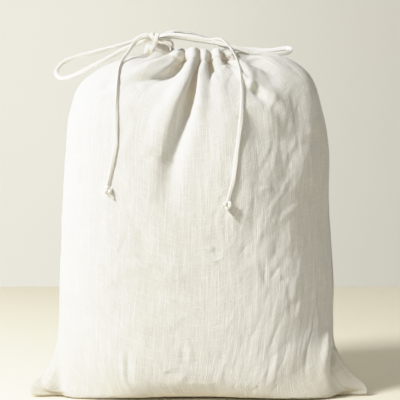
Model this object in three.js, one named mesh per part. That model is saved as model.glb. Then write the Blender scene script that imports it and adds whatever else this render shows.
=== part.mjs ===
// Drawstring storage bag of undyed linen, standing filled and drawn shut, as a three.js scene graph.
// Millimetres. X runs to the right across the front, Y to the back and Z up; the bag stands on z = 0.
// It is two panels sewn down both sides and along the bottom. The bottom corners stick out as flat ears,
// and the hem round the top is drawn up into pleats by a tie, whose ends are knotted in a bow.
import * as THREE from "three";

// Driving sizes
const CLOTH = 1.4; // thickness of a panel's cloth with its slubs
const HEM_CLOTH = 2.2; // the hem is turned over, so it is thicker
const SEAM_GAP = 0.4; // clear distance between pieces that are sewn or tied together
const COLUMN_STEP = 0.056; // widest column of facets, as a share of half a panel
const ROWS_BETWEEN_LEVELS = [1, 1, 1, 1, 1, 1, 1, 1, 1, 1, 1, 2, 2, 2, 1, 1];

// Levels of the panels, from the bottom seam (up = 0) to the top of the hem.
// up: cloth measured up the panel. leftX, leftZ, rightX, rightZ: where the side seams are.
// leftY, rightY: how far the side seams lie to the front or back.
// frontY, frontZ, backY, backZ: the middle of each panel. flat: share of the half width that keeps the
// middle's height. full: how square the level is in plan, 2 being an ellipse. tip: how the level ends at
// the seams, round at 0.5 and drawn out into flat points above 1. corner: how much further the front
// stands out towards its corners.
const LEVEL_COLUMNS = [
  "up", "leftX", "leftY", "leftZ", "rightX", "rightY", "rightZ",
  "frontY", "frontZ", "backY", "backZ", "flat", "full", "tip", "corner",
];
const LEVELS = [
  [0, -164, -50, 1.8, 174, -49, 1.8, -26, 0, -26, 0, 0.6, 2.4, 1.5, 2],
  [8, -164.5, -47.5, 10, 173, -47, 8.5, -34, 0, -14, 0, 0.7, 2.6, 1.45, 8],
  [20, -156.6, -39, 18, 161.5, -46, 19, -48.5, 1.5, 4, 0, 0.8, 2.8, 1.4, 15],
  [42, -145.2, -19, 37, 146.5, -47, 38, -65.5, 4, 31, 0, 0.5, 3.0, 1.15, 11],
  [58, -142.4, -8, 54, 140, -42, 54, -70, 14.5, 47, 4, 0.42, 2.9, 0.85, 8],
  [80, -141.4, -3, 76, 140.5, -29, 76, -72.5, 30.5, 60.5, 21, 0.28, 2.6, 0.6, 4],
  [110, -141, 0, 106, 142.3, -13, 106, -74, 58, 68, 50, 0.1, 2.4, 0.45, 1.5],
  [150, -139, 0, 146, 141, -3, 146, -73.5, 96.5, 71.5, 89, 0, 2.3, 0.43, 0],
  [200, -137.2, 0, 196, 138, 0, 196, -72, 146, 72, 139, 0, 2.3, 0.43, 0],
  [250, -134, 0, 246, 138.3, 0, 246, -70, 196, 70.5, 189, 0, 2.3, 0.43, 0],
  [290, -130, 0, 285, 132.5, 0, 284, -67, 236, 68, 229, 0, 2.2, 0.45, 0],
  [322, -118.5, 0, 315, 120.5, 0, 318, -62, 267, 63, 261, 0, 2.1, 0.48, 0],
  [350, -96, 0, 332, 99, 0, 335, -55, 293, 55.5, 288, 0, 2, 0.5, 0],
  [376, -73.5, 0, 341, 77, 0, 341, -44.5, 312.5, 45, 312, 0, 2, 0.5, 0],
  [398, -58, 0, 343.5, 62, 0, 341, -35.5, 325.5, 35.5, 327, 0, 2, 0.5, 0],
  [415, -50, 0, 346, 55, 0, 341.5, -29.5, 335, 29, 338.5, 0, 2, 0.5, 0],
  [433, -46, 0, 355, 51, 0, 346, -24, 348, 23, 355, 0, 2, 0.5, 0],
].map((row) => Object.fromEntries(LEVEL_COLUMNS.map((name, i) => [name, row[i]])));
const ROUND_TIP = 0.5; // tips up to this one are spaced as on an ellipse
const POINTED_TIP = 1.5; // and from this one evenly across the level
const SEAM_FLAT = 8; // the back panel follows the front one's corners this far up from the bottom seam
const HEM_BOTTOM = 415;
const HEM_TOP = LEVELS[LEVELS.length - 1].up;
const PANELS_MIDDLE = [5, -0.5]; // middle of the two panels' box in plan, which becomes the origin

// Folds drawn into the panels by the hem, from the left side seam to the right one.
// at: place along the hem, -1 at the left seam and 1 at the right. out: how far the fold stands out
// at the hem, less than 0 for a valley. reach: how far down the cloth it runs. drift: how far it has
// wandered along the panel where it ends. lean: how far it leans over to the right.
// rise: how much higher the hem's top edge is there.
const FOLD_COLUMNS = ["at", "out", "reach", "drift", "lean", "rise"];
const VALLEY_SHARP = 1.6; // above 1 the crests are round and the valleys between them narrow
const RISE_RUN = 20; // the top edge's rise begins this far below the hem
const named = (row) => Object.fromEntries(FOLD_COLUMNS.map((name, i) => [name, row[i]]));
const FRONT_FOLDS = [
  [-1, 0, 60, 0, 0, 0],
  [-0.9, 3, 60, 0.02, -1, 0],
  [-0.77, -3, 60, 0, 0, -2],
  [-0.6, 5.5, 60, -0.03, 2, 2],
  [-0.375, -7, 60, -0.05, 0, -4],
  [-0.245, 5, 95, -0.14, -2, -4],
  [-0.175, -6.5, 90, -0.16, 0, -5],
  [-0.08, 6.5, 110, -0.16, 2.5, 0],
  [0.035, -8, 150, -0.2, 0, -4],
  [0.11, 5.5, 90, -0.04, -1.5, -1],
  [0.175, -7.5, 60, 0.02, 0, -4.5],
  [0.245, 6.5, 60, 0.04, 1, 0],
  [0.32, -7.5, 70, 0.06, 0, -4],
  [0.465, 6.5, 90, 0.06, -2, 1.5],
  [0.61, -7, 80, 0.05, 0, -3],
  [0.7, 5, 90, 0.04, 1, 0],
  [0.8, -5, 80, 0.02, 0, -3],
  [0.91, 3, 60, 0, 0, 0],
  [1, 0, 60, 0, 0, 0],
].map(named);
const BACK_FOLDS = [
  [-1, 0, 60, 0, 0, 0],
  [-0.9, 3, 60, 0, 0, 0],
  [-0.76, -5, 90, -0.02, 0, -3],
  [-0.66, 5, 70, -0.05, 1, 0],
  [-0.55, -7, 80, -0.06, 0, -4],
  [-0.43, 6, 110, -0.08, -2, 1],
  [-0.32, -7, 130, -0.08, 0, -3],
  [-0.22, 5.5, 90, -0.04, 2, 0],
  [-0.12, -8, 80, -0.02, 0, -5],
  [-0.01, 6, 100, 0.02, 1, 1],
  [0.09, -7, 140, 0.06, 0, -4],
  [0.2, 6, 110, 0.08, -2, -1],
  [0.29, -8, 80, 0.06, 0, -4],
  [0.39, 6.5, 90, 0.05, 1.5, 1],
  [0.51, -7, 110, 0.06, 0, -4],
  [0.67, 5, 80, 0.04, -1, 0],
  [0.8, -5, 90, 0.02, 0, -3],
  [0.91, 3, 60, 0, 0, 0],
  [1, 0, 60, 0, 0, 0],
].map(named);

// The tie: a narrow strip of the linen, folded and sewn, which leaves the hem at the left of the front
const TIE_THICK = 3.4; // through its folded section
const TIE_SIDES = 8;
const TIE_STEP = 12; // length of one facet along it
const BOW_KNOT = { at: [-40, -28, 358], size: [13, 9, 11] };
const END_KNOT_LEFT = { at: [-84.8, -64.5, 206], size: [7, 6, 9] };
const END_KNOT_RIGHT = { at: [31.8, -75, 190.6], size: [8, 6, 13] };
const KNOT_SIDES = 10;
const KNOT_RINGS = 6;
// Routes of the tie, as points that it lies through
const TIE_ROUTES = {
  lead_left: [[-34.6, -30, 353.6], [-30, -30, 353], [-26.6, -28.4, 351.2], [-25, -26.4, 349.2], [-25, -24, 347.2]],
  lead_right: [
    [-33.2, -27, 357.5], [-27.4, -25.6, 357.2], [-23.6, -23.2, 355.6], [-22.4, -20.8, 353.2], [-22.8, -19, 351.2],
  ],
  loop_left: [
    [-46.2, -25.5, 359.5], [-52.5, -23, 358.6], [-60.7, -20, 356.5], [-76.8, -15, 352.9], [-92.7, -10, 349.4],
    [-106.4, -7, 346.2], [-118.1, -5, 343.8], [-126.5, -4, 341.2], [-135, -3, 337.5], [-141.4, -3.5, 331],
    [-143, -6, 325.3], [-138.6, -10.5, 320], [-129, -14, 320.6], [-117, -16, 325], [-105.3, -17, 331],
    [-95.8, -18, 335.6], [-86.6, -19, 340.3], [-78.3, -20, 344.6], [-70.8, -22, 348.3], [-62, -24, 352], [-47.3, -27, 356.6],
  ],
  loop_right: [
    [-34.4, -25.6, 361.4], [-29, -21, 364], [-20.5, -15, 367.3], [-11.3, -11, 367.3], [-0.9, -8, 365.8],
    [8.3, -6, 362.6], [15.5, -4, 359.5], [24, -2, 356.6], [32.4, 1, 354], [40.9, 3, 352],
    [51.2, 4, 351.6], [61.7, 4, 351], [70, 3, 350.2], [80, 1, 350.2], [90.5, -1, 351.4],
    [96.2, -3.5, 351.6], [98.4, -8, 349.3], [95, -12.5, 346], [87.2, -15, 344.4], [77, -17, 344],
    [66.8, -18, 344.8], [56.5, -19.5, 345.4], [46, -20.5, 348.6], [33.9, -20.5, 352], [20.5, -19.5, 355],
    [10.3, -19, 357], [-2, -19, 358.2], [-13.3, -19.5, 360.2], [-24.5, -20.5, 361], [-33.8, -22.4, 359.6],
  ],
  tail_left: [
    [-46.6, -30, 361], [-52.3, -30.5, 360.2], [-58.6, -30.5, 355.8], [-63, -30.3, 349.6], [-68.2, -30.2, 342.6],
    [-73, -33, 335.6], [-75.4, -39, 326.8], [-76.3, -46, 317], [-76.6, -54.7, 294.5], [-76.8, -60.8, 264.6],
    [-77, -62.4, 250], [-79.2, -63.2, 237], [-82, -63.4, 222], [-84.2, -63.8, 211.2],
  ],
  tail_right: [
    [-34, -30.3, 360.6], [-24, -30, 362], [-12, -30, 361.2], [0, -30, 359.8], [10.3, -30, 357.4],
    [17.5, -31, 356.8], [22.9, -32.6, 357.4], [28.6, -34.6, 355.4], [34.4, -36.8, 349.4], [38.9, -39.5, 343],
    [42.6, -42.6, 334.6], [45, -47, 325.2], [46.4, -53, 314], [46.9, -57.8, 302], [46.2, -62.4, 286.1],
    [45, -65.4, 272.2], [42.6, -68.6, 254.6], [40, -71.2, 235], [37.5, -73, 215.6], [34.9, -74.2, 205], [33.2, -75, 197.6],
  ],
};

const LINEN = { color: 0xf1efe6, roughness: 0.9, metalness: 0 };
const TIE = { color: 0xeee9dc, roughness: 0.9, metalness: 0 };

// Smooth values of every column of the levels table at any height up the cloth
const levelCurve = new THREE.CubicInterpolant(
  LEVELS.map((level) => level.up),
  LEVELS.flatMap((level) => LEVEL_COLUMNS.map((name) => level[name])),
  LEVEL_COLUMNS.length,
);
function levelAt(up) {
  const values = Array.from(levelCurve.evaluate(up));
  return Object.fromEntries(LEVEL_COLUMNS.map((name, i) => [name, values[i]]));
}

// A panel's inside at one level before it is pleated. face is -1 for the front and 1 for the back,
// along runs from -1 at the left seam to 1 at the right one.
function plainPoint(level, face, along) {
  const left = along < 0;
  const centre = (level.leftX + level.rightX) / 2;
  const half = (level.rightX - level.leftX) / 2 - CLOTH;
  const pointed = THREE.MathUtils.smoothstep(level.tip, ROUND_TIP, POINTED_TIP);
  const onEllipse = Math.sin((Math.abs(along) * Math.PI) / 2);
  const across = THREE.MathUtils.lerp(onEllipse, Math.abs(along), pointed);
  const bulge = Math.pow(Math.max(1 - Math.pow(across, level.full), 0), level.tip);
  const lift = THREE.MathUtils.smoothstep(across, level.flat, 1);
  const seamY = left ? level.leftY : level.rightY;
  const seamZ = left ? level.leftZ : level.rightZ;
  const midY = face < 0 ? level.frontY : level.backY;
  const midZ = face < 0 ? level.frontZ : level.backZ;
  const follows = face < 0 ? 1 : THREE.MathUtils.clamp(1 - level.up / SEAM_FLAT, 0, 1);
  const corner = follows * level.corner * 4 * across ** 2 * (1 - across ** 2);
  return new THREE.Vector3(
    centre + Math.sign(along) * half * across,
    THREE.MathUtils.lerp(seamY, midY, bulge) - corner + (face * SEAM_GAP) / 2,
    Math.max(THREE.MathUtils.lerp(midZ, seamZ, lift), CLOTH),
  );
}

// How far the folds move the cloth outwards, to the right and up at a height up the panel
function foldMove(folds, up, along) {
  const below = Math.max(HEM_BOTTOM - up, 0);
  const here = folds.map((fold) => {
    const run = Math.min(below / fold.reach, 1);
    const fading = 0.5 * (1 + Math.cos(Math.PI * run));
    const nearTop = THREE.MathUtils.smoothstep(up, HEM_BOTTOM - RISE_RUN, HEM_TOP);
    return {
      at: fold.at + fold.drift * run,
      out: fold.out * fading,
      lean: fold.lean * fading,
      rise: fold.rise * nearTop,
      height: fold.out,
    };
  });
  const next = Math.max(here.findIndex((fold) => fold.at >= along), 1);
  const from = here[next - 1];
  const to = here[next];
  const share = THREE.MathUtils.clamp((along - from.at) / (to.at - from.at), 0, 1);
  const rising = to.height > from.height;
  const [crest, valley] = rising ? [to, from] : [from, to];
  const fromCrest = Math.pow(rising ? 1 - share : share, VALLEY_SHARP);
  const between = (name) => THREE.MathUtils.lerp(crest[name], valley[name], fromCrest);
  return { out: between("out"), lean: between("lean"), rise: between("rise") };
}

// Columns of facets: every fold has one, with more between folds that are far apart
function columnsOf(folds) {
  const columns = [folds[0].at];
  for (let i = 1; i < folds.length; i++) {
    const width = folds[i].at - folds[i - 1].at;
    const steps = Math.ceil(width / COLUMN_STEP);
    for (let k = 1; k <= steps; k++) columns.push(folds[i - 1].at + (width * k) / steps);
  }
  return columns;
}

function rowsOf() {
  const rows = [LEVELS[0].up];
  for (let i = 1; i < LEVELS.length; i++) {
    const from = LEVELS[i - 1].up;
    const steps = ROWS_BETWEEN_LEVELS[i - 1];
    for (let k = 1; k <= steps; k++) rows.push(from + ((LEVELS[i].up - from) * k) / steps);
  }
  return rows;
}

// The inside of one panel: a grid of points with its pleats
function panelGrid(face, folds, rows, columns) {
  return rows.flatMap((up) => {
    const level = levelAt(up);
    const centre = (level.leftX + level.rightX) / 2;
    const halfWidth = (level.rightX - level.leftX) / 2;
    const halfDepth = Math.max((level.backY - level.frontY) / 2, CLOTH);
    return columns.map((along) => {
      const point = plainPoint(level, face, along);
      const outward = new THREE.Vector3((point.x - centre) / halfWidth ** 2, point.y / halfDepth ** 2, 0);
      const { out, lean, rise } = foldMove(folds, up, along);
      return point.addScaledVector(outward.normalize(), out).add(new THREE.Vector3(lean, 0, rise));
    });
  });
}

// One panel as a closed shell: its inside, its outside a cloth's thickness away, and a rim round both
function panelGeometry(face, folds) {
  const columns = columnsOf(folds);
  const rows = rowsOf();
  const wide = columns.length;
  const inside = panelGrid(face, folds, rows, columns);
  const skin = [];
  for (let r = 0; r + 1 < rows.length; r++)
    for (let c = 0; c + 1 < wide; c++) {
      const a = r * wide + c;
      const [b, d] = face < 0 ? [a + 1, a + wide] : [a + wide, a + 1];
      skin.push(a, b, a + wide + 1, a, a + wide + 1, d);
    }
  const grid = new THREE.BufferGeometry();
  grid.setAttribute("position", new THREE.Float32BufferAttribute(inside.flatMap((p) => p.toArray()), 3));
  grid.setIndex(skin);
  grid.computeVertexNormals();
  const outside = inside.map((point, i) => {
    const thick = rows[Math.floor(i / wide)] >= HEM_BOTTOM ? HEM_CLOTH : CLOTH;
    const normal = new THREE.Vector3().fromBufferAttribute(grid.getAttribute("normal"), i);
    const outer = point.clone().addScaledVector(normal, thick);
    if (point.z <= CLOTH) outer.z = 0;
    if (i % wide === 0 || i % wide === wide - 1) outer.y = face * Math.max(face * outer.y, face * point.y);
    return outer;
  });

  const count = inside.length;
  const high = rows.length;
  const border = [];
  for (let c = 0; c < wide - 1; c++) border.push(c);
  for (let r = 0; r < high - 1; r++) border.push(r * wide + wide - 1);
  for (let c = wide - 1; c > 0; c--) border.push((high - 1) * wide + c);
  for (let r = high - 1; r > 0; r--) border.push(r * wide);
  const faces = skin.map((corner) => corner + count);
  for (let i = 0; i < skin.length; i += 3) faces.push(skin[i], skin[i + 2], skin[i + 1]);
  border.forEach((a, i) => {
    const b = border[(i + 1) % border.length];
    const [c, d] = face < 0 ? [b, a + count] : [a + count, b];
    faces.push(a, c, b + count, a, b + count, d);
  });
  const shell = new THREE.BufferGeometry();
  const points = [...inside, ...outside].flatMap((p) => p.toArray());
  shell.setAttribute("position", new THREE.Float32BufferAttribute(points, 3));
  shell.setIndex(faces);
  return shell;
}

// A length of the tie along its route, as a tube of plain section
function tieGeometry(points) {
  const route = new THREE.CatmullRomCurve3(points.map((p) => new THREE.Vector3(...p)), false, "centripetal");
  const section = new THREE.Shape();
  for (let i = 0; i < TIE_SIDES; i++) {
    const turn = (i * 2 * Math.PI) / TIE_SIDES;
    const corner = [(TIE_THICK / 2) * Math.cos(turn), (TIE_THICK / 2) * Math.sin(turn)];
    if (i === 0) section.moveTo(...corner);
    else section.lineTo(...corner);
  }
  section.closePath();
  const steps = Math.ceil(route.getLength() / TIE_STEP);
  return new THREE.ExtrudeGeometry(section, { extrudePath: route, steps, bevelEnabled: false });
}

// A knot as the plain rounded lump that its turns fill
function knotGeometry(knot) {
  const lump = new THREE.SphereGeometry(0.5, KNOT_SIDES, KNOT_RINGS);
  return lump.scale(...knot.size).translate(...knot.at);
}

function piece(name, geometry, finish) {
  const mesh = new THREE.Mesh(geometry, new THREE.MeshStandardMaterial(finish));
  mesh.name = name;
  return mesh;
}

// The levels and routes are measured from the line through the hem's middle, which stands a little to
// the left of the panels' own middle because the right ear is the longer
const bag = new THREE.Group();
bag.add(piece("front_panel", panelGeometry(-1, FRONT_FOLDS), LINEN));
bag.add(piece("back_panel", panelGeometry(1, BACK_FOLDS), LINEN));
for (const [name, points] of Object.entries(TIE_ROUTES)) bag.add(piece(name, tieGeometry(points), TIE));
bag.add(piece("bow_knot", knotGeometry(BOW_KNOT), TIE));
bag.add(piece("end_knot_left", knotGeometry(END_KNOT_LEFT), TIE));
bag.add(piece("end_knot_right", knotGeometry(END_KNOT_RIGHT), TIE));
bag.position.set(-PANELS_MIDDLE[0], -PANELS_MIDDLE[1], 0);

export default bag;
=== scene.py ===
# %% [markdown]
# # A drawstring storage bag of washed linen
# This lesson builds one soft object round a fixed frame. The frame is the plain model in model.glb:
# two shells for the bag's panels and plain tubes for its tie. The looks made here stand where those
# solids stand, so every piece is placed from the frame's own numbers.

import math
import bpy
import numpy as np
from mathutils import Matrix, Vector
from mathutils.bvhtree import BVHTree


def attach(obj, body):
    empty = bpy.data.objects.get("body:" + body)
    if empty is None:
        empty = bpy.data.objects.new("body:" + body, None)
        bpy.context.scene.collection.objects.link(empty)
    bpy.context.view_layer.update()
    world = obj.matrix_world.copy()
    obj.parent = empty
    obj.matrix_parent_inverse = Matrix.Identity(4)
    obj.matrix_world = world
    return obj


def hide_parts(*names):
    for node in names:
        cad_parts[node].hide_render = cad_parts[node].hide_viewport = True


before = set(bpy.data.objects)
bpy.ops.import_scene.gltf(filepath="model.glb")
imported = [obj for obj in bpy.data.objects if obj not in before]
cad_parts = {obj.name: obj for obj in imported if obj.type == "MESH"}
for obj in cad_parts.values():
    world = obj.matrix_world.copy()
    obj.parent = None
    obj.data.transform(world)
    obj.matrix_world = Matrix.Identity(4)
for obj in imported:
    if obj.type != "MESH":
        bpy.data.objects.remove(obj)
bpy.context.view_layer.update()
MM = 0.001
PANELS_MIDDLE = np.array([5.0, -0.5, 0.0]) * MM  # the panels' middle in the tables' own places


def in_frame(points):
    """Points measured as the tables measure them, moved to where the frame has them."""
    return np.asarray(points, float) - PANELS_MIDDLE


# %% [markdown]
# ## The camera
# The camera comes first, because every later choice is judged through it. It stands a metre in
# front of the bag, a little above its middle, and looks down by a degree and a half. A long lens
# keeps the sides of the bag nearly upright, as a product picture does.

# %% Camera
CAMERA_AT = (0.0002, -0.9995, 0.220)
LOOKS_DOWN = 1.454  # degrees
SENSOR = 36.0
FILLS_AT = 2.4025  # how many of its own widths away a thing just fills the picture

camera_data = bpy.data.cameras.new("camera")
camera_data.sensor_width = SENSOR
camera_data.lens = SENSOR * FILLS_AT
camera = bpy.data.objects.new("camera", camera_data)
camera.location = CAMERA_AT
camera.rotation_euler = (math.radians(90 - LOOKS_DOWN), 0, 0)
bpy.context.scene.collection.objects.link(camera)
bpy.context.scene.camera = camera
print("camera lens in mm:", round(camera_data.lens, 1))

# %% [markdown]
# ## Helpers for making meshes
# One helper turns points and faces into a mesh, smooth shaded, and keeps each point's place on the
# flat cloth in an attribute named `cloth`, in millimetres. The weave is drawn from that attribute,
# so the threads follow the cloth round every fold. The others are small sums that come back in
# many places: how far along a line each point is, and the points at any distance along it.


# %% Mesh helpers
def make_object(name, points, faces, cloth, material):
    mesh = bpy.data.meshes.new(name)
    mesh.from_pydata(np.asarray(points, float).tolist(), [], faces)
    mesh.update()
    mesh.polygons.foreach_set("use_smooth", np.ones(len(faces), bool))
    place = mesh.attributes.new("cloth", "FLOAT_VECTOR", "POINT")
    place.data.foreach_set("vector", np.asarray(cloth, np.float32).ravel())
    mesh.materials.append(material)
    made = bpy.data.objects.new(name, mesh)
    bpy.context.scene.collection.objects.link(made)
    print(name, "has", len(faces), "faces")
    return made


def tube_faces(rings, sides):
    """Faces of a closed tube whose points are stored ring by ring, with a cap on each end."""
    faces = []
    for ring in range(rings - 1):
        for side in range(sides):
            here, right = ring * sides + side, ring * sides + (side + 1) % sides
            faces.append((here, right, right + sides, here + sides))
    count = rings * sides
    return [*faces, tuple(range(sides))[::-1], tuple(range(count - sides, count))]


def smoothstep(x, low, high):
    share = np.clip((x - low) / (high - low), 0, 1)
    return share * share * (3 - 2 * share)


def unit(vectors):
    return vectors / np.maximum(np.linalg.norm(vectors, axis=-1, keepdims=True), 1e-12)


def run_along(line):
    """How far along a line each of its points is."""
    return np.r_[0, np.cumsum(np.linalg.norm(np.diff(line, axis=0), axis=1))]


def points_at(distances, run, line):
    """Points of a line at distances along it. run is run_along(line)."""
    return np.stack([np.interp(distances, run, line[:, k]) for k in range(3)], -1)


def smoothed(values, width):
    """Values along a line, each mixed with its neighbours. width is odd."""
    kernel = np.hanning(width) / np.hanning(width).sum()
    return np.convolve(np.pad(values, width // 2, mode="edge"), kernel, mode="valid")


# %% [markdown]
# ## Linen
# Linen is woven from flax thread that swells and thins along its length. A thick stretch is a
# slub, and it shows as a short bright streak along the warp or the weft. The material draws three
# things from the cloth's own place: the over and under of single threads, the slubs in both
# directions, and slow clouds of shade where the cloth took the wash differently. Colour carries a
# little of each, and a Bump node carries the rest. Matt fibre scatters light with no clear
# highlight, so roughness is high and a touch of sheen lights the edges.


# %% A helper that keeps node graphs readable
class Graph:
    def __init__(self, name):
        self.material = bpy.data.materials.new(name)
        self.material.use_nodes = True
        self.tree = self.material.node_tree
        self.shader = self.tree.nodes["Principled BSDF"]

    def put(self, value, socket):
        if isinstance(value, bpy.types.NodeSocket):
            self.tree.links.new(value, socket)
        else:
            socket.default_value = value

    def node(self, kind, settings=None, **inputs):
        made = self.tree.nodes.new(kind)
        for key, value in (settings or {}).items():
            setattr(made, key, value)
        for key, value in inputs.items():
            self.put(value, made.inputs[key.replace("_", " ")])
        return made

    def math(self, operation, a, b=0.0, c=0.0):
        made = self.tree.nodes.new("ShaderNodeMath")
        made.operation = operation
        for value, socket in zip((a, b, c), made.inputs):
            self.put(value, socket)
        return made.outputs[0]

    def stretched_noise(self, x, y, x_size, y_size, detail=2.0, seed=0.0):
        """Noise whose blots are x_size by y_size millimetres."""
        place = self.node("ShaderNodeCombineXYZ", X=self.math("DIVIDE", x, x_size),
                          Y=self.math("DIVIDE", y, y_size), Z=seed)
        noise = self.node("ShaderNodeTexNoise", Vector=place.outputs[0], Scale=1.0, Detail=detail)
        return noise.outputs["Fac"]

    def spread(self, value, low, high, to_low=0.0, to_high=1.0):
        made = self.node("ShaderNodeMapRange", {"interpolation_type": "SMOOTHSTEP"})
        for key, number in zip(("Value", "From Min", "From Max", "To Min", "To Max"),
                               (value, low, high, to_low, to_high)):
            self.put(number, made.inputs[key])
        return made.outputs[0]


# %% [markdown]
# Cloth that sits deep between folds is given painted shade: a warm tint and a faint painted glow,
# which stand in for the warmer light that has passed through linen, by as much as an Ambient Occlusion
# node finds it hidden. Close to the table the painted glow fades out and the cloth takes a painted
# warm tone that stands in for the light the table sends back.

# %% Linen material
# The first four paint light and shade: a warm painted shade and a faint painted glow for cloth deep
# between folds, and a painted warm bounce from the table near the bottom.
PAINTED_FOLD_SHADE = (1.0, 0.92, 0.79)
PAINTED_FOLD_GLOW = (1.0, 0.92, 0.78)
PAINTED_GLOW_STRENGTH = 0.10
PAINTED_TABLE_BOUNCE = (0.955, 0.93, 0.86)
HIDDEN_WITHIN = 0.03  # metres in which other cloth hides a place
WEAVE_LAYERS = {  # millimetres across and up of one blot, detail, seed
    "warp_slub": (1.2, 34, 3.0, 3.7),
    "weft_slub": (15, 1.1, 3.0, 9.2),
    "fine_warp": (0.55, 16, 1.0, 5.1),
    "fine_weft": (14, 0.55, 1.0, 8.3),
    "clouds": (34, 40, 3.0, 1.4),
}


def tinted(g, share, color, tint):
    """A colour multiplied by a tint, as far as share says."""
    mix = g.node("ShaderNodeMix", {"data_type": "RGBA", "blend_type": "MULTIPLY"})
    g.put(share, mix.inputs[0])
    g.put(color, mix.inputs[6])
    mix.inputs[7].default_value = (*tint, 1)
    return mix.outputs[2]


def linen(name, light, dark, thread, slub_share, bump_depth, folds=0.0):
    """Woven flax. folds is how strongly the painted shade and painted glow of deep cloth and the
    painted table bounce of low cloth are used.
    """
    g = Graph(name)
    place = g.node("ShaderNodeAttribute", {"attribute_name": "cloth"})
    split = g.node("ShaderNodeSeparateXYZ", Vector=place.outputs["Vector"])
    x, y = split.outputs[0], split.outputs[1]
    layer = {key: g.stretched_noise(x, y, *sizes) for key, sizes in WEAVE_LAYERS.items()}

    turn = 2 * math.pi / thread
    over = g.math("MULTIPLY", g.math("SINE", g.math("MULTIPLY", x, turn)),
                  g.math("SINE", g.math("MULTIPLY", y, turn)))
    warp_slub = g.spread(layer["warp_slub"], 0.44, 0.80)
    weft_slub = g.spread(layer["weft_slub"], 0.48, 0.84)
    slubs = g.math("ADD", warp_slub, g.math("MULTIPLY", weft_slub, 0.8))
    fine = g.math("ADD", layer["fine_warp"], layer["fine_weft"])

    shade = g.math("MULTIPLY_ADD", slubs, slub_share, g.math("MULTIPLY", layer["clouds"], 0.35))
    shade = g.math("MULTIPLY_ADD", fine, 0.28, shade)
    shade = g.math("MULTIPLY_ADD", over, 0.05, shade)
    ramp = g.node("ShaderNodeValToRGB", Fac=g.spread(shade, 0.25, 1.05))
    ramp.color_ramp.elements[0].color = (*dark, 1)
    ramp.color_ramp.elements[1].color = (*light, 1)

    # Painted shade and light: cloth that the Ambient Occlusion node finds hidden is tinted warm and
    # given a faint painted glow, and cloth near the table takes a painted warm bounce.
    hidden = g.node("ShaderNodeAmbientOcclusion", {"samples": 8}, Distance=HIDDEN_WITHIN)
    painted_shade_share = g.spread(hidden.outputs["AO"], 0.1, 0.68, folds, 0.0)
    with_painted_shade = tinted(g, painted_shade_share, ramp.outputs["Color"], PAINTED_FOLD_SHADE)
    with_painted_bounce = tinted(g, g.spread(y, 4, 90, folds, 0.0), with_painted_shade, PAINTED_TABLE_BOUNCE)
    g.put(with_painted_bounce, g.shader.inputs["Base Color"])
    g.shader.inputs["Emission Color"].default_value = (*PAINTED_FOLD_GLOW, 1)
    painted_glow = g.math("MULTIPLY", painted_shade_share, g.spread(y, 30, 80, 0.0, PAINTED_GLOW_STRENGTH))
    g.put(painted_glow, g.shader.inputs["Emission Strength"])

    height = g.math("MULTIPLY_ADD", slubs, 0.55, g.math("MULTIPLY", over, 0.22))
    height = g.math("MULTIPLY_ADD", fine, 0.5, height)
    bump = g.node("ShaderNodeBump", Height=height, Distance=bump_depth, Strength=1.0)
    g.put(bump.outputs["Normal"], g.shader.inputs["Normal"])
    g.put(g.spread(slubs, 0.0, 1.4, 0.94, 0.82), g.shader.inputs["Roughness"])
    g.shader.inputs["Sheen Weight"].default_value = 0.25
    g.shader.inputs["Sheen Roughness"].default_value = 0.5
    g.shader.inputs["Specular IOR Level"].default_value = 0.25
    return g.material


THREAD_PITCH = 0.62  # millimetres from one thread to the next
LINEN = linen("linen", light=(0.935, 0.932, 0.905), dark=(0.79, 0.78, 0.74),
              thread=THREAD_PITCH, slub_share=0.56, bump_depth=0.00052, folds=1.0)
TIE_LINEN = linen("tie_linen", light=(0.95, 0.94, 0.91), dark=(0.81, 0.795, 0.75),
                  thread=THREAD_PITCH, slub_share=0.35, bump_depth=0.00024)
THREAD = linen("sewing_thread", light=(0.93, 0.92, 0.87), dark=(0.80, 0.78, 0.71),
               thread=0.3, slub_share=0.2, bump_depth=0.00008)
print("materials:", [made.name for made in (LINEN, TIE_LINEN, THREAD)])

# %% [markdown]
# ## The tie
# The tie is a narrow strip of the same linen, folded in and sewn flat. It comes out of the hem at
# the left, is tied in a bow, and each end hangs down the front and stops in a knot. A strip could
# be a curve with a bevel, but a curve can't be flat and turn over as it goes. So a section is
# swept along the route: a flat oval with a shallow groove down its middle, held square to the
# front and then turned by the amounts in a short table.

# %% Routes of the tie, in metres
TIE_WIDTH = 0.0042
TIE_THICK = 0.0018
LEAD_LEFT = [(-0.025, -0.024, 0.3472), (-0.025, -0.0264, 0.3492), (-0.0266, -0.0284, 0.3512),
             (-0.030, -0.030, 0.353), (-0.0346, -0.030, 0.3536)]
LEAD_RIGHT = [(-0.0228, -0.019, 0.3512), (-0.0224, -0.0208, 0.3532), (-0.0236, -0.0232, 0.3556),
              (-0.0274, -0.0256, 0.3572), (-0.0332, -0.027, 0.3575)]
LOOP_LEFT = [
    (-0.0462, -0.0255, 0.3595), (-0.0525, -0.023, 0.3586), (-0.0607, -0.020, 0.3565),
    (-0.0768, -0.015, 0.3529), (-0.0927, -0.010, 0.3494), (-0.1064, -0.007, 0.3462),
    (-0.1181, -0.005, 0.3438), (-0.1265, -0.004, 0.3412), (-0.135, -0.003, 0.3375),
    (-0.1414, -0.0035, 0.331), (-0.143, -0.006, 0.3253), (-0.1386, -0.0105, 0.320),
    (-0.129, -0.014, 0.3206), (-0.117, -0.016, 0.325), (-0.1053, -0.017, 0.331),
    (-0.0958, -0.018, 0.3356), (-0.0866, -0.019, 0.3403), (-0.0783, -0.020, 0.3446),
    (-0.0708, -0.022, 0.3483), (-0.062, -0.024, 0.352), (-0.0473, -0.027, 0.3566),
]
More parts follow.
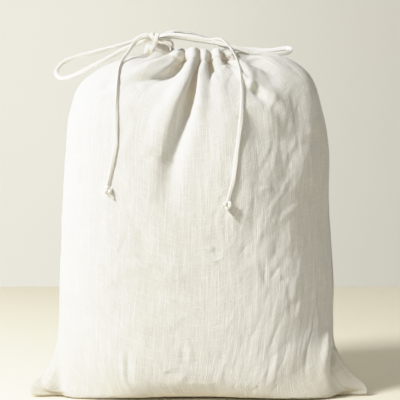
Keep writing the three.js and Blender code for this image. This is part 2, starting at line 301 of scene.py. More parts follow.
LOOP_RIGHT = [
    (-0.0344, -0.0256, 0.3614), (-0.029, -0.021, 0.364), (-0.0205, -0.015, 0.3673),
    (-0.0113, -0.011, 0.3673), (-0.0009, -0.008, 0.3658), (0.0083, -0.006, 0.3626),
    (0.0155, -0.004, 0.3595), (0.024, -0.002, 0.3566), (0.0324, 0.001, 0.354),
    (0.0409, 0.003, 0.352), (0.0512, 0.004, 0.3516), (0.0617, 0.004, 0.351),
    (0.070, 0.003, 0.3502), (0.080, 0.001, 0.3502), (0.0905, -0.001, 0.3514),
    (0.0962, -0.0035, 0.3516), (0.0984, -0.008, 0.3493), (0.095, -0.0125, 0.346),
    (0.0872, -0.015, 0.3444), (0.077, -0.017, 0.344), (0.0668, -0.018, 0.3448),
    (0.0565, -0.0195, 0.3454), (0.046, -0.0205, 0.3486), (0.0339, -0.0205, 0.352),
    (0.0205, -0.0195, 0.355), (0.0103, -0.019, 0.357), (-0.002, -0.019, 0.3582),
    (-0.0133, -0.0195, 0.3602), (-0.0245, -0.0205, 0.361), (-0.0338, -0.0224, 0.3596),
]
TAIL_LEFT = [
    (-0.0466, -0.030, 0.361), (-0.0523, -0.0305, 0.3602), (-0.0586, -0.0305, 0.3558),
    (-0.063, -0.0303, 0.3496), (-0.0682, -0.0302, 0.3426), (-0.073, -0.033, 0.3356),
    (-0.0754, -0.039, 0.3268), (-0.0763, -0.046, 0.317), (-0.0766, -0.0547, 0.2945),
    (-0.0768, -0.0608, 0.2646), (-0.077, -0.0624, 0.250), (-0.0792, -0.0632, 0.237),
    (-0.082, -0.0634, 0.222), (-0.0842, -0.0638, 0.2112),
]
TAIL_RIGHT = [
    (-0.034, -0.0303, 0.3606), (-0.024, -0.030, 0.362), (-0.012, -0.030, 0.3612),
    (0.000, -0.030, 0.3598), (0.0103, -0.030, 0.3574), (0.0175, -0.031, 0.3568),
    (0.0229, -0.0326, 0.3574), (0.0286, -0.0346, 0.3554), (0.0344, -0.0368, 0.3494),
    (0.0389, -0.0395, 0.343), (0.0426, -0.0426, 0.3346), (0.045, -0.047, 0.3252),
    (0.0464, -0.053, 0.314), (0.0469, -0.0578, 0.302), (0.0462, -0.0624, 0.2861),
    (0.045, -0.0654, 0.2722), (0.0426, -0.0686, 0.2546), (0.040, -0.0712, 0.235),
    (0.0375, -0.073, 0.2156), (0.0349, -0.0742, 0.205), (0.0332, -0.075, 0.1976),
]
BOW_KNOT = (-0.040, -0.028, 0.358)
END_KNOT_LEFT = (-0.0848, -0.0645, 0.206)
END_KNOT_RIGHT = (0.0318, -0.075, 0.1906)


# %% A smooth line through points, and a flat strip along it
def smooth_route(points, step=0.001):
    """Centripetal Catmull-Rom through the points, resampled to even steps."""
    p = np.asarray(points, float)
    p = np.vstack([2 * p[0] - p[1], p, 2 * p[-1] - p[-2]])
    made = []
    for i in range(len(p) - 3):
        a, b, c, d = p[i:i + 4]
        ta = 0.0
        tb = ta + max(np.linalg.norm(b - a), 1e-9) ** 0.5
        tc = tb + max(np.linalg.norm(c - b), 1e-9) ** 0.5
        td = tc + max(np.linalg.norm(d - c), 1e-9) ** 0.5
        t = np.linspace(tb, tc, 24, endpoint=False)[:, None]
        ab = (tb - t) / (tb - ta) * a + (t - ta) / (tb - ta) * b
        bc = (tc - t) / (tc - tb) * b + (t - tb) / (tc - tb) * c
        cd = (td - t) / (td - tc) * c + (t - tc) / (td - tc) * d
        abc = (tc - t) / (tc - ta) * ab + (t - ta) / (tc - ta) * bc
        bcd = (td - t) / (td - tb) * bc + (t - tb) / (td - tb) * cd
        made.append((tc - t) / (tc - tb) * abc + (t - tb) / (tc - tb) * bcd)
    line = np.vstack([*made, p[-2:-1]])
    run = run_along(line)
    return points_at(np.linspace(0, run[-1], max(int(run[-1] / step), 4) + 1), run, line)


def route_length(line):
    return float(run_along(line)[-1])


STRIP_SIDES = 14
GROOVE = 0.4  # how deep the groove down the middle is, as a share of half the thickness


def strip(name, line, width, thick, turns, facing=(0, -1, 0)):
    """Sweeps a flat section along a line. turns is a table of (share of the length, degrees)."""
    tangent = unit(np.gradient(line, axis=0))
    run = run_along(line)
    turns = np.asarray(turns, float)
    angle = smoothed(np.radians(np.interp(run / run[-1], turns[:, 0], turns[:, 1])), 15)
    wide = unit(np.cross(tangent, np.asarray(facing, float)))
    for _ in range(12):
        wide[1:-1] = unit(wide[:-2] + 2 * wide[1:-1] + wide[2:])
    wide = unit(wide - tangent * (wide * tangent).sum(1, keepdims=True))
    up = np.cross(wide, tangent)
    wide, up = (wide * np.cos(angle)[:, None] + up * np.sin(angle)[:, None],
                up * np.cos(angle)[:, None] - wide * np.sin(angle)[:, None])
    around = np.linspace(0, 2 * math.pi, STRIP_SIDES, endpoint=False)
    flat = np.sign(np.cos(around)) * np.abs(np.cos(around)) ** 0.8
    deep = np.sin(around) * (1 - GROOVE * np.exp(-((flat / 0.34) ** 2)))
    wobble = 1 + 0.07 * np.sin(run / 0.0071 + 1.3) + 0.05 * np.sin(run / 0.0031)
    half = 0.5 * width * wobble[:, None, None]
    points = (line[:, None] + wide[:, None] * flat[None, :, None] * half
              + up[:, None] * deep[None, :, None] * 0.5 * thick)
    cloth = np.zeros_like(points)
    cloth[..., 0] = flat * width / 2 / MM
    cloth[..., 1] = run[:, None] / MM
    faces = tube_faces(len(line), STRIP_SIDES)
    return make_object(name, points.reshape(-1, 3), faces, cloth.reshape(-1, 3), TIE_LINEN)


# %% [markdown]
# Each half of the tie is one strip from the hem to its own knotted end: the lead, its loop of the
# bow, and the tail. The two halves pass through the bow's knot, which hides where they cross.

# %% The two halves of the tie
TIE_HALVES = {
    "tie_left": {
        "route": [*LEAD_LEFT, BOW_KNOT, *LOOP_LEFT, (-0.041, -0.0265, 0.3585), *TAIL_LEFT,
                  END_KNOT_LEFT],
        "turns": [(0, 80), (0.05, 60), (0.12, 35), (0.3, 20), (0.42, 0), (0.5, -25), (0.6, -10),
                  (0.66, 50), (0.74, 70), (0.82, 20), (0.9, 0), (1, 25)],
        "nodes": ("lead_left", "loop_left", "tail_left"),
    },
    "tie_right": {
        "route": [*LEAD_RIGHT, (-0.041, -0.0265, 0.358), *LOOP_RIGHT, (-0.040, -0.027, 0.3592),
                  *TAIL_RIGHT, END_KNOT_RIGHT],
        "turns": [(0, 80), (0.04, 50), (0.1, 30), (0.2, 10), (0.3, 0), (0.4, -20), (0.5, 15),
                  (0.6, 40), (0.7, 70), (0.78, 35), (0.86, 5), (0.94, -10), (1, 20)],
        "nodes": ("lead_right", "loop_right", "tail_right"),
    },
}
tie_halves = {}
for name, half in TIE_HALVES.items():
    half["line"] = in_frame(smooth_route(half["route"]))
    tie_halves[name] = strip(name, half["line"], TIE_WIDTH, TIE_THICK, half["turns"])
    print(name, "is", round(route_length(half["line"]), 3), "m long")

# %% [markdown]
# ## Knots
# A knot in a flat strip is a small lump of tight turns. The end knots are overhand knots: the
# strip passes once through its own loop, which is the curve below pulled tight, and a short free
# end sticks out of each. The bow's knot is the two halves wrapped round each other, so it is built
# from short turns of the same strip that cross over the front. Sweeping the strip along these
# small loops gives the folds and shadows that a plain ball can't.


# %% Knots
def placed(loop, centre, size, lean):
    """A loop one unit across, brought to its size, leaned sideways by degrees and put in place."""
    turn = np.array(Matrix.Rotation(math.radians(lean), 3, "Y"))
    return (loop * np.asarray(size)) @ turn.T + np.asarray(centre)


def overhand(centre, size, lean, name):
    """A tight overhand knot: three lobes of one strip, closed under the lump."""
    t = np.linspace(0, 2 * math.pi, 90, endpoint=False)
    loop = np.stack([np.sin(t) + 2 * np.sin(2 * t), -1.1 * np.sin(3 * t),
                     np.cos(t) - 2 * np.cos(2 * t)], -1)
    loop = loop / np.abs(loop).max(0) * 0.5
    points = placed(loop, centre, size, lean)
    line = np.vstack([points, points[:1]])
    return strip(name, in_frame(line), 0.0034, 0.0024, [(0, 0), (1, 0)], facing=(0.1, -1, 0.2))


def turn_round(centre, size, lean, name, width):
    """One turn of the strip round the bundle of the bow's knot."""
    t = np.linspace(0, 2 * math.pi, 60)
    loop = np.stack([0.16 * np.sin(2 * t), np.cos(t), np.sin(t)], -1) * 0.5
    line = placed(loop, centre, size, lean)
    return strip(name, in_frame(line), width, 0.0022, [(0, 90), (1, 90)], facing=(1, 0, 0.01))


def free_end(knot_at, moves, name):
    """The short end of the strip that sticks out below its knot. moves are millimetres from it."""
    line = smooth_route(np.asarray(knot_at) + np.asarray(moves) * MM)
    return strip(name, in_frame(line), 0.0038, 0.0020, [(0, 10), (1, 50)])


def join(name, objects):
    """Joins objects into the first one, under a new name."""
    with bpy.context.temp_override(active_object=objects[0], selected_editable_objects=objects):
        bpy.ops.object.join()
    objects[0].name = name
    return objects[0]


end_knot_left = join("end_knot_left_turns", [
    overhand(END_KNOT_LEFT, (0.0052, 0.0042, 0.0064), 20, "left_lump"),
    free_end(END_KNOT_LEFT, [(0, 0, 0), (2.6, -0.3, -3.2), (5.2, -0.2, -6.4), (6.8, 0, -9)],
             "left_end"),
])
end_knot_right = join("end_knot_right_turns", [
    overhand(END_KNOT_RIGHT, (0.0060, 0.0044, 0.0088), -25, "right_lump"),
    free_end(END_KNOT_RIGHT, [(0, 0, 0), (1.2, -0.3, -4.2), (3.4, -0.2, -7.6), (5.6, 0, -9.6)],
             "right_end"),
])
bow_knot = join("bow_knot_turns", [
    turn_round((-0.0385, -0.0275, 0.3578), (0.006, 0.0075, 0.0098), 18, "bow_turn_a", 0.0044),
    turn_round((-0.0420, -0.0275, 0.3588), (0.006, 0.0070, 0.0086), -22, "bow_turn_b", 0.0040),
])

# %% [markdown]
# ## The form of the bag
# The filled bag is described level by level, from the bottom seam to the top of the hem. Each row
# says where the side seams are, how far the front and back stand out, and how square the level is.
# The bottom corners run out into flat ears. The panels could be sculpted instead, but numbers keep
# them on the solids of the frame, and a smooth curve through each column gives every height between.

# %% Levels, in millimetres
PANEL_HALF = 185.0
HEM_BOTTOM = 415.0
HEM_TOP = 433.0
CLOTH = 1.4
LEVEL_COLUMNS = ("up leftX leftY leftZ rightX rightY rightZ frontY frontZ backY backZ "
                 "flat full tip corner").split()
LEVELS = np.array([
    [0, -164, -50, 1.8, 174, -49, 1.8, -26, 0, -26, 0, 0.6, 2.4, 1.5, 2],
    [8, -164.5, -47.5, 10, 173, -47, 8.5, -34, 0, -14, 0, 0.7, 2.6, 1.45, 8],
    [20, -156.6, -39, 18, 161.5, -46, 19, -48.5, 1.5, 4, 0, 0.8, 2.8, 1.4, 15],
    [42, -145.2, -19, 37, 146.5, -47, 38, -65.5, 4, 31, 0, 0.5, 3.0, 1.15, 11],
    [58, -142.4, -8, 54, 140, -42, 54, -70, 14.5, 47, 4, 0.42, 2.9, 0.85, 8],
    [80, -141.4, -3, 76, 140.5, -29, 76, -72.5, 30.5, 60.5, 21, 0.28, 2.6, 0.6, 4],
    [110, -141, 0, 106, 142.3, -13, 106, -74, 58, 68, 50, 0.1, 2.4, 0.45, 1.5],
    [150, -139, 0, 146, 141, -3, 146, -73.5, 96.5, 71.5, 89, 0, 2.3, 0.43, 0],
    [200, -137.2, 0, 196, 138, 0, 196, -72, 146, 72, 139, 0, 2.3, 0.43, 0],
    [250, -134, 0, 246, 138.3, 0, 246, -70, 196, 70.5, 189, 0, 2.3, 0.43, 0],
    [290, -130, 0, 285, 132.5, 0, 284, -67, 236, 68, 229, 0, 2.2, 0.45, 0],
    [322, -118.5, 0, 315, 120.5, 0, 318, -62, 267, 63, 261, 0, 2.1, 0.48, 0],
    [350, -96, 0, 332, 99, 0, 335, -55, 293, 55.5, 288, 0, 2, 0.5, 0],
    [376, -73.5, 0, 341, 77, 0, 341, -44.5, 312.5, 45, 312, 0, 2, 0.5, 0],
    [398, -58, 0, 343.5, 62, 0, 341, -35.5, 325.5, 35.5, 327, 0, 2, 0.5, 0],
    [415, -50, 0, 346, 55, 0, 341.5, -29.5, 335, 29, 338.5, 0, 2, 0.5, 0],
    [433, -46, 0, 355, 51, 0, 346, -24, 348, 23, 355, 0, 2, 0.5, 0],
])
print(len(LEVELS), "levels, up to", HEM_TOP, "mm up the cloth")

# %% Folds that the drawn-up hem makes, from the left seam to the right
# at: place along the hem. out: millimetres it stands out. reach: how far down it runs.
# drift: how far it has wandered along the panel where it ends. lean: millimetres that it leans
# over to the right. rise: millimetres that the hem's top edge is higher there.
FRONT_FOLDS = np.array([
    [-1, 0, 60, 0, 0, 0], [-0.9, 3, 60, 0.02, -1, 0], [-0.77, -3, 60, 0, 0, -2],
    [-0.6, 5.5, 60, -0.03, 2, 2], [-0.375, -7, 60, -0.05, 0, -4], [-0.245, 5, 95, -0.14, -2, -4],
    [-0.175, -6.5, 90, -0.16, 0, -5], [-0.08, 6.5, 110, -0.16, 2.5, 0],
    [0.035, -8, 150, -0.2, 0, -4], [0.11, 5.5, 90, -0.04, -1.5, -1],
    [0.175, -7.5, 60, 0.02, 0, -4.5], [0.245, 6.5, 60, 0.04, 1, 0], [0.32, -7.5, 70, 0.06, 0, -4],
    [0.465, 6.5, 90, 0.06, -2, 1.5], [0.61, -7, 80, 0.05, 0, -3], [0.7, 5, 90, 0.04, 1, 0],
    [0.8, -5, 80, 0.02, 0, -3], [0.91, 3, 60, 0, 0, 0], [1, 0, 60, 0, 0, 0],
])
BACK_FOLDS = np.array([
    [-1, 0, 60, 0, 0, 0], [-0.9, 3, 60, 0, 0, 0], [-0.76, -5, 90, -0.02, 0, -3],
    [-0.66, 5, 70, -0.05, 1, 0],
    [-0.55, -7, 80, -0.06, 0, -4], [-0.43, 6, 110, -0.08, -2, 1], [-0.32, -7, 130, -0.08, 0, -3],
    [-0.22, 5.5, 90, -0.04, 2, 0], [-0.12, -8, 80, -0.02, 0, -5], [-0.01, 6, 100, 0.02, 1, 1],
    [0.09, -7, 140, 0.06, 0, -4], [0.2, 6, 110, 0.08, -2, -1], [0.29, -8, 80, 0.06, 0, -4],
    [0.39, 6.5, 90, 0.05, 1.5, 1], [0.51, -7, 110, 0.06, 0, -4], [0.67, 5, 80, 0.04, -1, 0],
    [0.8, -5, 90, 0.02, 0, -3], [0.91, 3, 60, 0, 0, 0], [1, 0, 60, 0, 0, 0],
])
print(len(FRONT_FOLDS), "crests and valleys in the front of the hem,", len(BACK_FOLDS), "behind")


# %% The surface of one panel from the levels
SEAM_FLAT = 8  # the back panel follows the front one's corners this far up from the bottom seam
EVEN = 0.7  # how evenly the columns share the width of each level
VALLEY_SHARP = 1.6  # above 1 the crests are round and the valleys between them narrow


def level_at(up):
    """Every column of the levels table at a height up the cloth, on a smooth curve."""
    heights = LEVELS[:, 0]
    slopes = np.gradient(LEVELS, heights, axis=0)
    i = int(np.clip(np.searchsorted(heights, up, side="right") - 1, 0, len(heights) - 2))
    rise = heights[i + 1] - heights[i]
    t = (up - heights[i]) / rise
    values = ((2 * t**3 - 3 * t**2 + 1) * LEVELS[i] + (t**3 - 2 * t**2 + t) * slopes[i] * rise
              + (3 * t**2 - 2 * t**3) * LEVELS[i + 1] + (t**3 - t**2) * slopes[i + 1] * rise)
    return dict(zip(LEVEL_COLUMNS, values))


def plain_points(level, face, along):
    """The panel at one level before it is pleated. face is -1 in front and 1 behind."""
    centre = (level["leftX"] + level["rightX"]) / 2
    half = (level["rightX"] - level["leftX"]) / 2 - CLOTH
    pointed = smoothstep(level["tip"], 0.5, 1.5)
    across = (1 - pointed) * np.sin(np.abs(along) * math.pi / 2) + pointed * np.abs(along)
    bulge = np.maximum(1 - across ** level["full"], 0) ** level["tip"]
    lift = smoothstep(across, level["flat"], 1)
    left = along < 0
    seam_y = np.where(left, level["leftY"], level["rightY"])
    seam_z = np.where(left, level["leftZ"], level["rightZ"])
    side = "front" if face < 0 else "back"
    mid_y, mid_z = level[side + "Y"], level[side + "Z"]
    x = centre + np.sign(along) * half * across
    y = seam_y + (mid_y - seam_y) * bulge
    follows = 1 if face < 0 else float(np.clip(1 - level["up"] / SEAM_FLAT, 0, 1))
    y = y - follows * level["corner"] * 4 * across**2 * (1 - across**2)
    z = np.maximum(mid_z + (seam_z - mid_z) * lift, CLOTH)
    return np.stack([x, y, z], -1)


def fold_moves(folds, up, along):
    """How far the folds move the cloth outwards, to the right and up, at a height up the panel."""
    at, out, reach, drift, lean, rise = folds.T
    run = np.minimum(max(HEM_BOTTOM - up, 0) / reach, 1)
    fading = 0.5 * (1 + np.cos(math.pi * run))
    places = at + drift * run
    i = np.clip(np.searchsorted(places, along), 1, len(at) - 1)
    share = np.clip((along - places[i - 1]) / (places[i] - places[i - 1]), 0, 1)
    rising = out[i] > out[i - 1]
    crest, valley = np.where(rising, i, i - 1), np.where(rising, i - 1, i)
    from_crest = np.where(rising, 1 - share, share) ** VALLEY_SHARP
    near_top = smoothstep(up, HEM_BOTTOM - 20, HEM_TOP)

    def between(moves):
        return moves[crest] + (moves[valley] - moves[crest]) * from_crest

    return between(out * fading), between(lean * fading), between(rise) * near_top


def panel_grid(face, folds, rows, columns):
    """Points of a panel in metres: rows are millimetres up the cloth, columns run from -1 to 1."""
    grid = []
    fine = np.linspace(-1, 1, 401)
    for up in rows:
        level = level_at(up)
        run = run_along(plain_points(level, face, fine))
        evenly = np.interp((columns + 1) / 2, run / run[-1], fine)
        along = EVEN * evenly + (1 - EVEN) * columns
        points = plain_points(level, face, along)
        half_wide = (level["rightX"] - level["leftX"]) / 2
        half_deep = max((level["backY"] - level["frontY"]) / 2, CLOTH)
        centre = (level["leftX"] + level["rightX"]) / 2
        outward = np.stack([(points[:, 0] - centre) / half_wide**2, points[:, 1] / half_deep**2,
                            np.zeros(len(along))], -1)
        out, lean, rise = fold_moves(folds, up, along)
        grid.append(points + unit(outward) * out[:, None] + np.stack([lean, 0 * lean, rise], -1))
    return np.array(grid) * MM


# %% [markdown]
# ## The big folds of the neck
# Below the hem the pleats run together into a few big folds, and each has its own way down the cloth.
# They give the bag its face, so each is given on its own. Every row is one crest or valley: the line
# that it follows in millimetres on the flat cloth, how wide it is at its start and its end, and how
# far it stands out there. The first ones are part of the form that the Cloth step below starts from.
# Those named late are pressed in after it, on a grid twice as fine, which can hold their sharper
# edges.

# %% Crests and valleys, given one by one
# line, (width at start, at end), (out at start, half way, at end)
FRONT_RIDGES = [
    # the roll at the left of the neck, and its underside
    ([(-50, 424), (-66, 408), (-81, 379), (-91, 354), (-100, 336), (-112, 312)], (6, 12), (6, 5, 1.5)),
    ([(-40, 400), (-50, 374), (-64, 361), (-80, 350), (-96, 338), (-112, 326)], (6, 10),
     (-5, -5.5, -4)),
    # the crest of the long fold, its valley and the bank beyond
    ([(-18, 412), (-23, 382), (-30, 350), (-38, 318), (-47, 285)], (6, 12), (5, 6, 1)),
    ([(12, 411), (-3, 386), (-10, 354), (-15, 326), (-21, 298), (-26, 272), (-28, 248)], (5, 11),
     (-5, -6.5, -1.5)),
    ([(22, 410), (12, 384), (5, 355), (-4, 330), (-15, 305)], (5, 12), (3.5, 2.5, 0.5)),
    ([(33, 418), (34, 395), (26, 372)], (5, 5), (-5, -4.5, -1)),  # short valley in the middle
    ([(50, 412), (46, 386), (36, 350)], (6, 10), (3.5, 2, 0.5)),
    ([(98, 414), (98, 384), (102, 356), (110, 330)], (7, 11), (4, 3, 1)),  # a fold on the right
    ([(-165, 424), (-130, 398), (-108, 372)], (7, 9), (-4, -4, -1)),  # outside the left roll
    ([(-173, 36), (-163, 27), (-150, 12)], (6, 7), (-2, -4, -3)),  # left ear set back
    ([(-180, 17), (-167, 6), (-158, 0)], (2.5, 2.5), (-1.5, -2, -2)),  # crease across the left ear
]
SEAM_STAYS_OUT = ([(182, 300), (182, 110)], (14, 14), (0.8, 1.5, 0.8))  # the right side seam
LATE_RIDGES = [
    # the hollow by the knot, the crest that shades it, and the thin crest below it
    ([(86, 409), (100, 388), (107, 368), (108, 352), (106, 338)], (12, 11), (-6, -12, -4)),
    ([(74, 400), (85, 382), (84, 362), (78, 344)], (7, 7), (2, 7, 1.5)),
    ([(57, 388), (69, 378), (71, 354), (74, 341)], (3, 4), (2, 4, 3)),
    ([(72, 344), (76, 332), (81, 316)], (5, 5.5), (-2, -5.5, -2)),  # small second hollow
    # the bright crest that comes down from it, and its shaded side
    ([(75, 341), (83, 329), (94, 311), (101, 299), (106, 286)], (5, 9), (4, 5.5, 0.5)),
    ([(80, 333), (87, 317), (96, 301), (101, 284)], (5, 9), (-2, -5, -0.5)),
    ([(116, 411), (120, 382), (126, 360), (132, 342)], (8, 11), (2, 3, 1)),  # upper crest
    # the shoulder that faces the light, where it ends, and the valley before it
    ([(154, 356), (151, 322), (143, 288), (132, 258)], (25, 16), (4.5, 6.5, 0.5)),
    ([(58, 322), (80, 311), (94, 296), (101, 282)], (9, 13), (1.5, 2.4, 0.2)),
    ([(60, 296), (80, 284), (94, 266), (100, 244)], (13, 18), (-2, -2.6, -0.4)),
    ([(106, 306), (109, 286), (104, 266), (98, 244)], (13, 20), (-0.6, -2.4, -0.2)),
    ([(46, 318), (48, 270), (46, 205)], (12, 14), (1.5, 2.5, 0.2)),  # the body turns away here
    ([(96, 245), (98, 190)], (15, 16), (-1.5, -1.5, 0)),
    ([(132, 256), (126, 232), (120, 205)], (15, 15), (0.5, 1.6, 0)),  # start of the side
    # the body's corner above the right ear, and the crease where the ear begins
    ([(172, 64), (166, 51), (156, 40)], (5, 6), (2.5, 3.5, 1.5)),
    ([(182, 54), (177, 46), (171, 40), (163, 33)], (3, 3), (-4.5, -5, -2)),
    # the long valley's right bank, crisp left edge and lower end, and the small valley beside it
    ([(14, 404), (8, 376), (6, 350), (2, 322), (-3, 296)], (5, 12), (2, 2.5, 1)),
    ([(-6, 414), (-15, 384), (-22, 352), (-28, 318), (-35, 288)], (4, 8), (2.5, 3, 1)),
    ([(30, 418), (30, 396), (25, 376)], (3, 3.5), (-2, -2.5, -1)),
    ([(-16, 320), (-22, 298), (-27, 274), (-29, 250)], (7, 10), (-1, -2.6, -1)),
    # the front turns, the side is less full, and the front rolls under
    ([(36, 372), (34, 340), (30, 310), (25, 270), (20, 228)], (13, 24), (2, 4, 0.6)),
    ([(145, 300), (144, 200), (142, 110), (138, 62)], (32, 40), (-2, -4, -3)),
    ([(-150, 46), (-60, 44), (40, 44), (130, 46)], (15, 15), (-2.2, -2.4, -2.2)),
    SEAM_STAYS_OUT,
]
BACK_RIDGES = [
    ([(-110, 415), (-104, 375), (-116, 330), (-129, 285)], (7, 14), (-5.0, -3.0, -1.0)),
    ([(-78, 415), (-70, 370), (-76, 325)], (7, 13), (4.5, 2.8, 1.0)),
    ([(-53, 415), (-47, 372), (-38, 330), (-42, 270)], (6, 12), (-6.5, -3.8, -1.0)),
    ([(-23, 415), (-17, 375), (-4, 335)], (6, 11), (4.0, 2.5, 1.0)),
    ([(13, 415), (15, 370), (27, 320), (23, 260)], (6, 13), (-7.0, -4.0, -1.0)),
    ([(42, 415), (51, 372), (55, 330)], (6, 12), (4.5, 2.8, 1.0)),
    ([(76, 415), (74, 380), (89, 335), (101, 290)], (6, 12), (-6.0, -3.5, -1.0)),
    ([(110, 415), (118, 370), (127, 325)], (8, 14), (4.5, 2.8, 1.0)),
]
print("ridges:", len(FRONT_RIDGES), "in front,", len(BACK_RIDGES), "behind,", len(LATE_RIDGES), "late")


def on_flat(high, wide):
    """Where each point of a grid is on the flat cloth, in millimetres across and up."""
    across = np.linspace(-PANEL_HALF, PANEL_HALF, wide)
    up = np.linspace(0, HEM_TOP, high)
    return np.stack([*np.meshgrid(across, up), np.zeros((high, wide))], -1)


def ridge_height(place, ridges):
    """Height in metres of all the ridges at every place on the flat cloth."""
    height = np.zeros(place.shape[:2])
    for line, wide, out in ridges:
        route = smooth_route([(x, y, 0) for x, y in line], step=2.0)
        share = np.linspace(0, 1, len(route))
        best = np.full(height.shape, np.inf)
        at = np.zeros(height.shape)
        for point, here in zip(route, share):
            far = np.hypot(place[..., 0] - point[0], place[..., 1] - point[1])
            at = np.where(far < best, here, at)
            best = np.minimum(best, far)
        width = wide[0] + (wide[1] - wide[0]) * at
        height += np.interp(at, (0, 0.5, 1), out) * np.exp(-((best / width) ** 2)) * MM
    return height


# %% [markdown]
# ## A light settling
# A real bag has more cloth at its neck than the neck has room for, and that spare cloth folds. The
# two panels are joined into one sewn mesh for Blender's Cloth. Each point gets a number that says
# how much longer the cloth is there than the smooth form, and Cloth's shrink settings, used
# backwards, are meant to let the cloth out by it. Light air pressure stands for the filling, and
# soft pins hold the cloth near its form. As it is set here the result is small: the cloth moves a
# few hundredths of a millimetre on average and less than one at most, and makes no fold that can
# be seen. The folds that show are the ones in the tables. A reader who wants Cloth to find them
# could begin with weaker pins, which wasn't tried here.

# %% The sewn bag before it settles
ACROSS = 96  # columns of cloth in each panel
UP = 120  # rows of cloth
rows = np.linspace(0, HEM_TOP, UP + 1)
columns = np.linspace(-1, 1, ACROSS + 1)


def outward_of(grid, face):
    """face is -1 in front and 1 behind, where columns run the same way but face away."""
    return unit(np.cross(np.gradient(grid, axis=1), np.gradient(grid, axis=0))) * -face


def without_pleats(grid, times=150):
    """The same grid with every point drawn towards its neighbours many times."""
    calm = grid.copy()
    for _ in range(times):
        calm[1:-1] = (calm[:-2] + 2 * calm[1:-1] + calm[2:]) / 4
        calm[:, 1:-1] = (calm[:, :-2] + 2 * calm[:, 1:-1] + calm[:, 2:]) / 4
    return calm


def with_ridges(grid, face, ridges, guide=None):
    """Moves the cloth by its ridges. guide is the grid whose outward directions are used."""
    place = on_flat(*grid.shape[:2])
    fade = smoothstep(HEM_TOP - place[..., 1], 0, HEM_TOP - HEM_BOTTOM)
    away = outward_of(grid if guide is None else guide, face)
    return grid + away * (ridge_height(place, ridges) * fade)[..., None]


front_start = with_ridges(panel_grid(-1, FRONT_FOLDS, rows, columns), -1, FRONT_RIDGES)
back_start = with_ridges(panel_grid(1, BACK_FOLDS, rows, columns), 1, BACK_RIDGES)
seam = (front_start + back_start) / 2

number = np.arange((UP + 1) * (ACROSS + 1)).reshape(UP + 1, ACROSS + 1)
back_number = number.copy()
own = back_number[1:, 1:-1]
own[...] = number.size + np.arange(own.size).reshape(own.shape)
start = np.vstack([front_start.reshape(-1, 3), back_start[1:, 1:-1].reshape(-1, 3)])
for sewn in (number[0], number[:, 0], number[:, -1]):
    start[sewn] = seam.reshape(-1, 3)[sewn]


def quads(numbers, turn_over=False):
    a, b, c, d = numbers[:-1, :-1], numbers[:-1, 1:], numbers[1:, 1:], numbers[1:, :-1]
    return np.stack([a, d, c, b] if turn_over else [a, b, c, d], -1).reshape(-1, 4).tolist()


faces = quads(number) + quads(back_number, turn_over=True)
print("sewn bag:", len(start), "points,", len(faces), "faces")


# %% How much longer the cloth is than the form
def let_out_by(numbers, points):
    """Flat length over present length of the threads that meet at each point."""
    flat, now = np.zeros(len(points)), np.zeros(len(points))
    across = (numbers[:, :-1], numbers[:, 1:], 2 * PANEL_HALF * MM / ACROSS)
    upwards = (numbers[:-1], numbers[1:], HEM_TOP * MM / UP)
    for a, b, length in (across, upwards):
        a, b = a.ravel(), b.ravel()
        present = np.linalg.norm(points[a] - points[b], axis=1)
        for ends in (a, b):
            np.add.at(flat, ends, length)
            np.add.at(now, ends, present)
    return flat, now


flat_front, now_front = let_out_by(number, start)
flat_back, now_back = let_out_by(back_number, start)
MORE_SLACK = 0.012  # the filling leaves the right half looser
MOST_LONGER = 1.6
at_least = 1 + MORE_SLACK * smoothstep(start[:, 0], -0.05, 0.06)
longer = np.clip((flat_front + flat_back) / (now_front + now_back), at_least, MOST_LONGER)
up_of = np.empty(len(start))
up_of[number] = rows[:, None]
up_of[back_number] = rows[:, None]
print("the cloth is let out by", round(float(longer.mean()), 3), "on average")

# %% Settle the cloth
FRAMES = 24
BODY_HOLD, SHOULDER_HOLD = 0.25, 0.06
CORNER_HOLD = HEM_HOLD = 0.5
SHOULDERS = (270, 330)  # millimetres up the cloth where the body's hold becomes the shoulders'
CORNERS = (40, 70)  # and where the corners' hold ends
FIXED_BELOW = 6  # and below which nothing moves, next to the bottom seam


def settle(points):
    mesh = bpy.data.meshes.new("settling")
    mesh.from_pydata(points.tolist(), [], faces)
    bag = bpy.data.objects.new("settling", mesh)
    bpy.context.scene.collection.objects.link(bag)

    hold = BODY_HOLD + (SHOULDER_HOLD - BODY_HOLD) * smoothstep(up_of, *SHOULDERS)
    hold = np.maximum(hold, CORNER_HOLD * (1 - smoothstep(up_of, *CORNERS)))
    hold[up_of >= HEM_BOTTOM] = HEM_HOLD
    hold[up_of < FIXED_BELOW] = 1.0
    share = (longer - longer.min()) / np.ptp(longer)
    for name, weights in (("held", hold), ("let_out", share)):
        group = bag.vertex_groups.new(name=name)
        for i, weight in enumerate(weights):
            group.add([i], float(weight), "REPLACE")

    cloth = bag.modifiers.new("cloth", "CLOTH")
    s = cloth.settings
    s.quality, s.mass, s.air_damping = 6, 0.1, 1.0
    s.tension_stiffness = s.compression_stiffness = 30
    s.shear_stiffness, s.bending_stiffness = 5, 0.3
    s.tension_damping = s.compression_damping = s.shear_damping = 5
    s.vertex_group_mass, s.pin_stiffness = "held", 1.0
    s.vertex_group_shrink = "let_out"
    s.shrink_min, s.shrink_max = 1 - float(longer.min()), 1 - float(longer.max())
    s.use_pressure, s.uniform_pressure_force = True, 3.0
    s.effector_weights.gravity = 0.0
    cloth.collision_settings.use_collision = False
    cloth.point_cache.frame_end = FRAMES
    for step in range(1, FRAMES + 1):
        bpy.context.scene.frame_set(step)
    settled = bag.evaluated_get(bpy.context.evaluated_depsgraph_get()).data
    flat_list = np.empty(len(points) * 3)
    settled.vertices.foreach_get("co", flat_list)
    bpy.data.objects.remove(bag)
    bpy.context.scene.frame_set(1)
    return flat_list.reshape(-1, 3)


